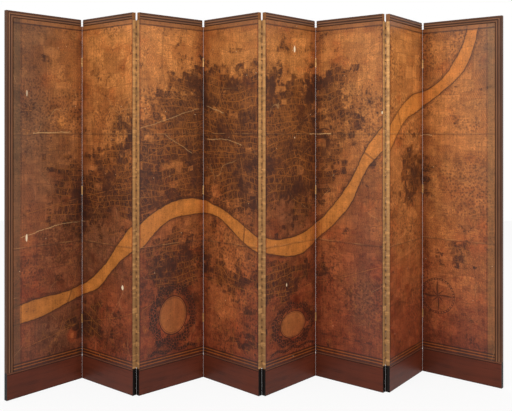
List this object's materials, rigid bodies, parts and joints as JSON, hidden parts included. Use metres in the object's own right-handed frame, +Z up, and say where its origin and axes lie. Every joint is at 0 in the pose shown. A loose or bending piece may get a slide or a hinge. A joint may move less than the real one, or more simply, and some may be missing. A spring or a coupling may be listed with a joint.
{
  "type": "folding screen",
  "caption": "Tall folding screen of hinged leaves faced with a varnished antique town plan, with reeded mahogany rails, plain plinths and brass hinges.",
  "frame": {"origin": "on the floor, under the centre of the standing screen's overall box", "axes": "+Z up, +X along the row of leaves from the left end to the right end seen from the front, front faces -Y"},
  "size_m": [2.9364, 0.5464, 2.24],
  "materials": {
    "mahogany": "French polished, worn at the edges",
    "print": "engraved paper pasted on thin board, yellowed varnish",
    "softwood": "unfinished pine, browned with age",
    "canvas": "stretched linen canvas",
    "brass": "aged, dull",
    "brass_fixings": "worn bright on the heads"
  },
  "bodies": {
    "leaf_1": {"leaf_1_frame": "softwood", "leaf_1_map_board": "print", "leaf_1_back_canvas": "canvas", "leaf_1_top_rail": "mahogany", "leaf_1_plinth": "mahogany", "leaf_1_hinge_plates": "brass", "leaf_1_hinge_fixings": "brass_fixings", "left_end_stile": "mahogany"},
    "leaf_2": {"leaf_2_frame": "softwood", "leaf_2_map_board": "print", "leaf_2_back_canvas": "canvas", "leaf_2_top_rail": "mahogany", "leaf_2_plinth": "mahogany", "leaf_2_hinge_plates": "brass", "leaf_2_hinge_fixings": "brass_fixings"},
    "leaf_3": {"leaf_3_frame": "softwood", "leaf_3_map_board": "print", "leaf_3_back_canvas": "canvas", "leaf_3_top_rail": "mahogany", "leaf_3_plinth": "mahogany", "leaf_3_hinge_plates": "brass", "leaf_3_hinge_fixings": "brass_fixings"},
    "leaf_4": {"leaf_4_frame": "softwood", "leaf_4_map_board": "print", "leaf_4_back_canvas": "canvas", "leaf_4_top_rail": "mahogany", "leaf_4_plinth": "mahogany", "leaf_4_hinge_plates": "brass", "leaf_4_hinge_fixings": "brass_fixings"},
    "leaf_5": {"leaf_5_frame": "softwood", "leaf_5_map_board": "print", "leaf_5_back_canvas": "canvas", "leaf_5_top_rail": "mahogany", "leaf_5_plinth": "mahogany", "leaf_5_hinge_plates": "brass", "leaf_5_hinge_fixings": "brass_fixings"},
    "leaf_6": {"leaf_6_frame": "softwood", "leaf_6_map_board": "print", "leaf_6_back_canvas": "canvas", "leaf_6_top_rail": "mahogany", "leaf_6_plinth": "mahogany", "leaf_6_hinge_plates": "brass", "leaf_6_hinge_fixings": "brass_fixings"},
    "leaf_7": {"leaf_7_frame": "softwood", "leaf_7_map_board": "print", "leaf_7_back_canvas": "canvas", "leaf_7_top_rail": "mahogany", "leaf_7_plinth": "mahogany", "leaf_7_hinge_plates": "brass", "leaf_7_hinge_fixings": "brass_fixings"},
    "leaf_8": {"leaf_8_frame": "softwood", "leaf_8_map_board": "print", "leaf_8_back_canvas": "canvas", "leaf_8_top_rail": "mahogany", "leaf_8_plinth": "mahogany", "leaf_8_hinge_plates": "brass", "leaf_8_hinge_fixings": "brass_fixings", "right_end_stile": "mahogany"}
  },
  "joints": [
    {"name": "fold_1", "type": "hinge", "parent": "leaf_2", "child": "leaf_1", "pos_m": [-1.10905, 0.11534, 1.175], "axis": [0, 0, 1], "range_deg": [-89, 91]},
    {"name": "fold_2", "type": "hinge", "parent": "leaf_3", "child": "leaf_2", "pos_m": [-0.72316, -0.17152, 1.175], "axis": [0, 0, -1], "range_deg": [-83, 97]},
    {"name": "fold_3", "type": "hinge", "parent": "leaf_4", "child": "leaf_3", "pos_m": [-0.35281, 0.13514, 1.175], "axis": [0, 0, 1], "range_deg": [-87, 93]},
    {"name": "fold_4", "type": "hinge", "parent": "leaf_4", "child": "leaf_5", "pos_m": [0.01213, -0.17793, 1.175], "axis": [0, 0, 1], "range_deg": [-92, 88]},
    {"name": "fold_5", "type": "hinge", "parent": "leaf_5", "child": "leaf_6", "pos_m": [0.35435, 0.15984, 1.175], "axis": [0, 0, -1], "range_deg": [-87, 93]},
    {"name": "fold_6", "type": "hinge", "parent": "leaf_6", "child": "leaf_7", "pos_m": [0.74519, -0.12024, 1.175], "axis": [0, 0, 1], "range_deg": [-93, 87]},
    {"name": "fold_7", "type": "hinge", "parent": "leaf_7", "child": "leaf_8", "pos_m": [1.05022, 0.25145, 1.175], "axis": [0, 0, -1], "range_deg": [-93, 87]}
  ]
}
